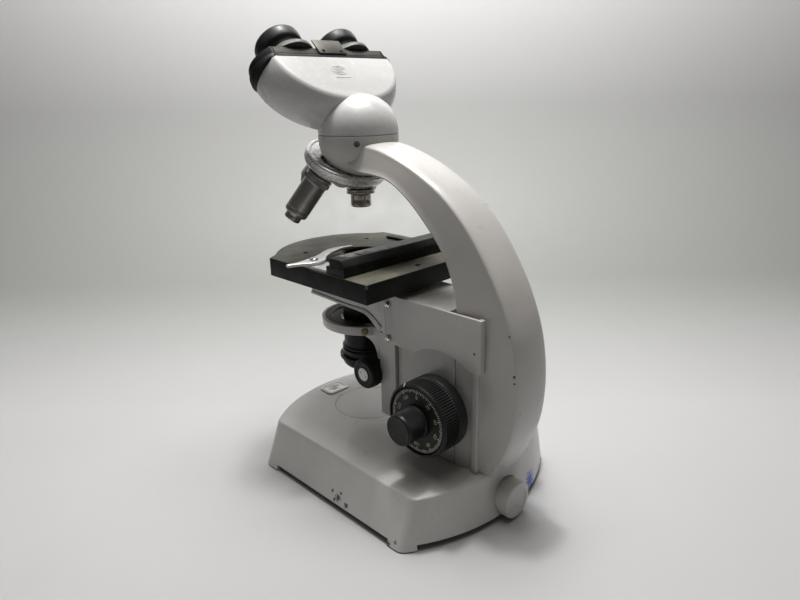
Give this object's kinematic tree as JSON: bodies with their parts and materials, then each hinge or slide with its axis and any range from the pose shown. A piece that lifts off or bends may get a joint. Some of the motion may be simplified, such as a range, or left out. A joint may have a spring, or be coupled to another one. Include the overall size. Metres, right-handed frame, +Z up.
{
  "type": "binocular microscope",
  "caption": "Upright laboratory microscope: curved arm on a bowed base, focusing stage with condenser, tilted revolving nosepiece and swivelling inclined binocular head.",
  "frame": {"origin": "centre of the bounding box's footprint, on the table", "axes": "+Z up (the tallest extent), +X across the stand towards the right-hand side of a user who faces the eyepieces, -Y towards the user and the eyepieces, +Y towards the arm"},
  "size_m": [0.1864, 0.2606, 0.3767],
  "materials": {
    "paint": "satin enamel, worn at edges",
    "base_paint": "satin enamel, chipped",
    "head_paint": "gloss enamel",
    "stage_black": "black enamel, top worn to olive brown",
    "knob_black": "black moulded, knurled",
    "black_enamel": "black enamel",
    "dark_plate": "black crinkle",
    "rubber": "matt",
    "chrome": "bright, lightly scratched",
    "steel": "turned",
    "eyepiece_metal": "brown-grey anodised",
    "eyecup_black": "satin black",
    "brass": "dull",
    "badge": "brushed plate",
    "glass": "coated lens",
    "mirror": "polished"
  },
  "bodies": {
    "stand": {"base_casting": "base_paint", "base_bottom_plate": "dark_plate", "foot_1": "rubber", "foot_2": "rubber", "foot_3": "rubber", "foot_4": "rubber", "light_port_glass": "glass", "light_port_cover": "base_paint", "light_mirror": "mirror", "base_badge": "badge", "arm_casting": "paint", "head_clamp_screw": "steel", "turret_pivot": "steel", "focus_housing": "paint", "bearing_flange_right": "black_enamel", "bearing_flange_left": "black_enamel"},
    "coarse_knobs": {"coarse_shaft": "steel", "coarse_knob_right": "knob_black", "coarse_knob_left": "knob_black"},
    "focus_slide": {"coarse_slide": "steel"},
    "fine_knobs": {"fine_shaft": "steel", "fine_drum_right": "black_enamel", "fine_drum_left": "black_enamel", "fine_knob_right": "knob_black", "fine_knob_left": "knob_black"},
    "stage_carrier": {"focus_carrier": "paint", "stage_bracket": "paint", "bracket_screw_upper": "chrome", "bracket_screw_lower": "chrome", "stage_plate": "stage_black", "slide_rest_bar": "stage_black", "lever_pivot_screw": "chrome", "condenser_pinion_block": "black_enamel"},
    "condenser": {"condenser_carrier": "paint", "condenser_clamp_screw": "brass", "condenser_body": "black_enamel", "condenser_top_lens": "glass"},
    "condenser_drive": {"condenser_knob": "knob_black"},
    "iris_control": {"iris_lever": "black_enamel"},
    "slide_clip": {"slide_lever": "chrome"},
    "lamp_holder": {"lamp_cap": "base_paint", "lamp_socket": "knob_black", "lamp_bulb": "glass"},
    "head": {"head_casting": "head_paint", "head_band": "black_enamel", "centre_bridge": "eyepiece_metal"},
    "tube_right": {"tube_slide_right": "eyepiece_metal"},
    "tube_left": {"tube_slide_left": "eyepiece_metal"},
    "collar_right": {"diopter_collar_right": "eyepiece_metal"},
    "collar_left": {"diopter_collar_left": "eyepiece_metal"},
    "ocular_right": {"eyepiece_right": "eyecup_black", "eye_lens_right": "glass"},
    "ocular_left": {"eyepiece_left": "eyecup_black", "eye_lens_left": "glass"},
    "nosepiece": {"turret_disc": "chrome", "objective_scan": "eyepiece_metal", "objective_high": "chrome", "objective_medium": "chrome", "objective_low": "chrome"}
  },
  "joints": [
    {"name": "coarse_focus", "type": "hinge", "parent": "stand", "child": "coarse_knobs", "pos_m": [0, 0.06483, 0.088], "axis": [1, 0, 0], "range_deg": [-240, 120]},
    {"name": "coarse_travel", "type": "slide", "parent": "stand", "child": "focus_slide", "axis": [0, 0, 1], "range_m": [-0.01601, 0.00801]},
    {"name": "fine_focus", "type": "hinge", "parent": "stand", "child": "fine_knobs", "pos_m": [0, 0.06483, 0.088], "axis": [1, 0, 0], "range_deg": [-1800, 1800]},
    {"name": "fine_travel", "type": "slide", "parent": "focus_slide", "child": "stage_carrier", "axis": [0, 0, 1], "range_m": [-0.00101, 0.00101]},
    {"name": "condenser_travel", "type": "slide", "parent": "stage_carrier", "child": "condenser", "axis": [0, 0, 1], "range_m": [-0.015, 0.006]},
    {"name": "condenser_focus", "type": "hinge", "parent": "stage_carrier", "child": "condenser_drive", "pos_m": [0, -0.01267, 0.096], "axis": [1, 0, 0], "range_deg": [-136, 55]},
    {"name": "iris_swing", "type": "hinge", "parent": "condenser", "child": "iris_control", "pos_m": [0, -0.05067, 0.0935], "axis": [0, 0, 1], "range_deg": [-30, 30]},
    {"name": "clip_swing", "type": "hinge", "parent": "stage_carrier", "child": "slide_clip", "pos_m": [0.059, -0.04367, 0.1938], "axis": [0, 0, 1], "range_deg": [-35, 25]},
    {"name": "lamp_pull", "type": "slide", "parent": "stand", "child": "lamp_holder", "axis": [0, 1, 0], "range_m": [0, 0.045]},
    {"name": "head_swivel", "type": "hinge", "parent": "stand", "child": "head", "pos_m": [0, -0.05067, 0.29], "axis": [0, 0, 1], "continuous": true},
    {"name": "tube_spread_right", "type": "slide", "parent": "head", "child": "tube_right", "axis": [1, 0, 0], "range_m": [-0.002, 0.006]},
    {"name": "tube_spread_left", "type": "slide", "parent": "head", "child": "tube_left", "axis": [1, 0, 0], "range_m": [-0.00601, 0.00201]},
    {"name": "collar_turn_right", "type": "hinge", "parent": "tube_right", "child": "collar_right", "pos_m": [0.031, -0.09663, 0.34466], "axis": [0, -0.7071, 0.7071], "range_deg": [-120, 120]},
    {"name": "collar_turn_left", "type": "hinge", "parent": "tube_left", "child": "collar_left", "pos_m": [-0.031, -0.09663, 0.34466], "axis": [0, -0.7071, 0.7071], "range_deg": [-120, 120]},
    {"name": "eyepiece_pull_right", "type": "slide", "parent": "tube_right", "child": "ocular_right", "axis": [0, -0.7071, 0.7071], "range_m": [0, 0.03]},
    {"name": "eyepiece_pull_left", "type": "slide", "parent": "tube_left", "child": "ocular_left", "axis": [0, -0.7071, 0.7071], "range_m": [0, 0.03]},
    {"name": "nosepiece_turn", "type": "hinge", "parent": "stand", "child": "nosepiece", "pos_m": [0, -0.05067, 0.3013], "axis": [0, -0.4446, -0.8957], "continuous": true}
  ],
  "couplings": [
    {"joint": "coarse_travel", "follows": "coarse_focus", "m_per_rad": 0.0038197},
    {"joint": "fine_travel", "follows": "fine_focus", "m_per_rad": 0.000031831},
    {"joint": "condenser_focus", "follows": "condenser_travel", "rad_per_m": 157},
    {"joint": "tube_spread_left", "follows": "tube_spread_right", "ratio": -1}
  ]
}
